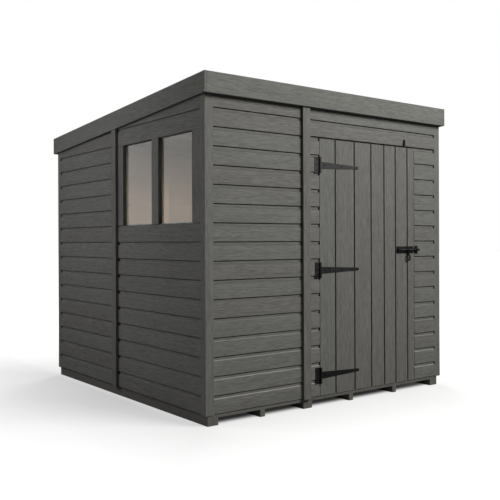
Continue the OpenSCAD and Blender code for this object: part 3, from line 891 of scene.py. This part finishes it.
piece("door_boards", door_boards, [STAIN, BARE], "door", "stained_boards", "door_leaf",
      face_material=door_face)
eased_copy("ledges", "door_ledges", [BARE], "bare_timber", 0.002, body="door", along=X)
braces = []
for solid in solids_of("door_braces"):
    low, high = extent(solid)
    corners = sorted((v.co.copy() for v in solid.verts), key=lambda c: c.z)
    foot = (corners[0] + corners[1] + corners[2] + corners[3]) / 4
    top = (corners[-1] + corners[-2] + corners[-3] + corners[-4]) / 4
    ease_edges(solid, 0.002)
    braces.append(lay_grain(solid, (top - foot).normalized()))
piece("braces", braces, [BARE], "door", "bare_timber", "door_braces")


# ---------------------------------------------------------------- ironwork

def forged(name, node, body, width=0.0006, metal=IRON):
    """A CAD node of black iron with softened edges."""
    parts = solids_of(node)
    for part in parts:
        ease_edges(part, width, 2, 40.0)
    return piece(name, parts, [metal], body, "black_ironwork", node)


IRON_PLATE = 0.003
HINGE_SCREW = 0.0045
plate_face = front_face - IRON_PLATE
strap_boxes = sorted((extent(s) for s in solids_of("hinge_straps")), key=lambda e: e[0].z)
flap_boxes = sorted((extent(s) for s in solids_of("hinge_flaps")), key=lambda e: e[0].z)
strap_screws, flap_screws = [], []
for (low, high), (flap_low, flap_high) in zip(strap_boxes, flap_boxes):
    level = (low.z + high.z) / 2
    reach = high.x - low.x
    for share in (0.134, 0.564, 0.945):
        strap_screws.append(screw(Vector((low.x + reach * share, plate_face, level)), -Y,
                                  HINGE_SCREW, timber_picks.uniform(0, 1.5)))
    middle_x = (flap_low.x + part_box("hinge_straps")[0].x) / 2 + 0.001
    for rise, shift in ((0.16, 0.0), (0.52, -0.004), (0.88, 0.0)):
        z = flap_low.z + (flap_high.z - flap_low.z) * rise
        flap_screws.append(screw(Vector((middle_x + shift, plate_face, z)), -Y,
                                 HINGE_SCREW, timber_picks.uniform(0, 1.5)))
forged("hinge_strap_plates", "hinge_straps", "door")
piece("strap_screws", strap_screws, [SCREW], "door", "black_ironwork")
forged("hinge_flap_plates", "hinge_flaps", "root")
piece("flap_screws", flap_screws, [SCREW], "root", "black_ironwork")

plate_low, plate_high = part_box("bolt_plate")
plate_screws = []
for x in (plate_low.x + 0.012, (plate_low.x + plate_high.x) / 2 + 0.02, plate_high.x - 0.03):
    for z in (plate_low.z + 0.008, plate_high.z - 0.008):
        plate_screws.append(screw(Vector((x, plate_face, z)), -Y, 0.004,
                                  timber_picks.uniform(0, 1.5)))
forged("bolt_back_plate", "bolt_plate", "door", metal=BLACK)
piece("bolt_plate_screws", plate_screws, [SCREW], "door", "black_ironwork")
forged("bolt_rod", "bolt_bar", "bolt", 0.001)
forged("bolt_pull", "bolt_handle", "handle", 0.0008, metal=BLACK)
keep_low, keep_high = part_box("bolt_keep")
keep_screws = []
for x in (keep_low.x + 0.007, keep_high.x - 0.007):
    for z in (keep_low.z + 0.008, keep_high.z - 0.008):
        keep_screws.append(screw(Vector((x, plate_face, z)), -Y, 0.0038,
                                 timber_picks.uniform(0, 1.5)))
forged("bolt_keep_plate", "bolt_keep", "root", metal=BLACK)
piece("keep_screws", keep_screws, [SCREW], "root", "black_ironwork")
forged("button_arm", "turn_button", "button", 0.0008, metal=BLACK)
forged("button_screw", "turn_button_pivot", "root", 0.0005)


# ---------------------------------------------------------------- floor and lights

def studio_floor():
    """Plain pale floor that keeps the shed's shadow.

    For the camera it also glows, so that it is white away from the shed. The glow
    falls off close to the walls, so the dark at their foot is partly painted shadow
    in this material and not all cast shadow; to_left and beside dim it left of the
    shed, more painted shadow, and right raises it right of the shed, painted light."""
    bm = bmesh.new()
    bmesh.ops.create_circle(bm, cap_ends=True, radius=60.0, segments=64)
    mesh = bpy.data.meshes.new("studio_floor")
    bm.to_mesh(mesh)
    bm.free()
    ground = bpy.data.objects.new("studio_floor", mesh)
    bpy.context.scene.collection.objects.link(ground)
    material = bpy.data.materials.new("pale floor")
    material.use_nodes = True
    tree = material.node_tree
    tree.nodes.clear()
    output = tree.nodes.new("ShaderNodeOutputMaterial")
    path = tree.nodes.new("ShaderNodeLightPath")
    pale = tree.nodes.new("ShaderNodeBsdfDiffuse")
    pale.inputs["Color"].default_value = (0.25, 0.25, 0.25, 1)
    soft = tree.nodes.new("ShaderNodeBsdfDiffuse")
    dim = spread(tree, path.outputs["Is Glossy Ray"], 0.0, 1.0, 0.30, 0.06)
    plug(tree, dim, soft.inputs["Color"])
    glow = tree.nodes.new("ShaderNodeEmission")
    ways = tree.nodes.new("ShaderNodeSeparateXYZ")
    plug(tree, object_place(tree), ways.inputs[0])
    reach = combined(tree, "MAXIMUM", combined(tree, "ABSOLUTE", ways.outputs[0]),
                   combined(tree, "ABSOLUTE", ways.outputs[1]))
    # Painted shadow: near the walls the glow drops almost to nothing.
    near = spread(tree, reach, 0.955, 1.07, 0.022, 0.62, "SMOOTHSTEP")
    middle = spread(tree, reach, 1.05, 1.75, 0.0, 0.16)
    far = spread(tree, reach, 1.7, 3.6, 0.0, 0.30)
    # Painted shadow left of the shed, where the glow is dimmed; painted light right of it, where
    # it is raised.
    to_left = spread(tree, combined(tree, "MULTIPLY", ways.outputs[0], -1.0), 1.0, 1.12)
    beside = combined(tree, "MULTIPLY", spread(tree, ways.outputs[1], -1.5, -0.2, 0.0, -0.15),
                    spread(tree, ways.outputs[1], 0.2, 1.3, 1.0, 0.35))
    right = spread(tree, ways.outputs[0], 0.6, 1.2, 0.0, 0.05)
    strength = combined(tree, "ADD", combined(tree, "ADD", near, middle), far)
    strength = combined(tree, "ADD", strength, combined(tree, "MULTIPLY", to_left, beside))
    plug(tree, combined(tree, "ADD", strength, right), glow.inputs["Strength"])
    seen = tree.nodes.new("ShaderNodeAddShader")
    plug(tree, pale.outputs[0], seen.inputs[0])
    plug(tree, glow.outputs[0], seen.inputs[1])
    either = tree.nodes.new("ShaderNodeMixShader")
    plug(tree, path.outputs["Is Camera Ray"], either.inputs[0])
    plug(tree, soft.outputs[0], either.inputs[1])
    plug(tree, seen.outputs[0], either.inputs[2])
    plug(tree, either.outputs[0], output.inputs["Surface"])
    mesh.materials.append(material)


def studio_world():
    """White to the eye, in gloss and through glass; a low even light otherwise."""
    world = bpy.data.worlds.new("studio")
    bpy.context.scene.world = world
    world.use_nodes = True
    tree = world.node_tree
    tree.nodes.clear()
    output = tree.nodes.new("ShaderNodeOutputWorld")
    path = tree.nodes.new("ShaderNodeLightPath")
    dim = tree.nodes.new("ShaderNodeBackground")
    dim.inputs["Color"].default_value = (1.0, 1.0, 1.0, 1)
    dim.inputs["Strength"].default_value = AMBIENT
    white = tree.nodes.new("ShaderNodeBackground")
    white.inputs["Color"].default_value = (1, 1, 1, 1)
    white.inputs["Strength"].default_value = 1.0
    seen = combined(tree, "MAXIMUM", path.outputs["Is Camera Ray"], path.outputs["Is Glossy Ray"])
    seen = combined(tree, "MAXIMUM", seen, path.outputs["Is Transmission Ray"])
    either = tree.nodes.new("ShaderNodeMixShader")
    plug(tree, seen, either.inputs[0])
    plug(tree, dim.outputs[0], either.inputs[1])
    plug(tree, white.outputs[0], either.inputs[2])
    plug(tree, either.outputs[0], output.inputs["Surface"])


def lamp(name, place, towards, size, power, colour=(1, 1, 1)):
    """A square soft lamp."""
    light = bpy.data.lights.new(name, "AREA")
    light.shape = "SQUARE"
    light.size = size
    light.energy = power
    light.color = colour
    made = bpy.data.objects.new(name, light)
    bpy.context.scene.collection.objects.link(made)
    made.location = place
    made.rotation_mode = "QUATERNION"
    made.rotation_quaternion = (Vector(towards) - Vector(place)).to_track_quat("-Z", "Y")
    made.visible_glossy = False


AMBIENT = 0.07
studio_floor()
studio_world()
lamp("key lamp", (1.95, -5.5, 5.2), (-0.6, -1.43, 5.5), 3.4, 905, (1.0, 0.985, 0.965))
lamp("side lamp", (-3.25, 0.4, 2.05), (-1.0, -0.2, 0.9), 1.8, 41, (1.0, 0.985, 1.02))
lamp("back lamp", (3.4, 4.2, 4.4), (0.2, 0.6, 1.0), 2.5, 300)
room_lamp = bpy.data.lights.new("room lamp", "POINT")
room_lamp.energy = 21
room_lamp.shadow_soft_size = 0.25
room_lamp.color = (1.0, 0.98, 0.95)
room_light = bpy.data.objects.new("room lamp", room_lamp)
bpy.context.scene.collection.objects.link(room_light)
room_light.location = (0.0, -0.4, 0.85)

camera_data = bpy.data.cameras.new("camera")
camera_data.lens = 52.286
camera_data.sensor_width = 36.0
camera_data.shift_x = 0.0329
camera_data.shift_y = -0.0176
camera = bpy.data.objects.new("camera", camera_data)
bpy.context.scene.collection.objects.link(camera)
VIEW_TURN = 0.63532
LEAN = -0.00403
upright = Matrix.Rotation(-VIEW_TURN, 4, "Z") @ Matrix.Rotation(math.pi / 2, 4, "X")
camera.matrix_world = (Matrix.Translation((-3.4297, -4.5495, 1.08)) @ upright
                       @ Matrix.Rotation(LEAN, 4, "Z"))
bpy.context.scene.camera = camera
bpy.context.scene.view_settings.view_transform = "Standard"
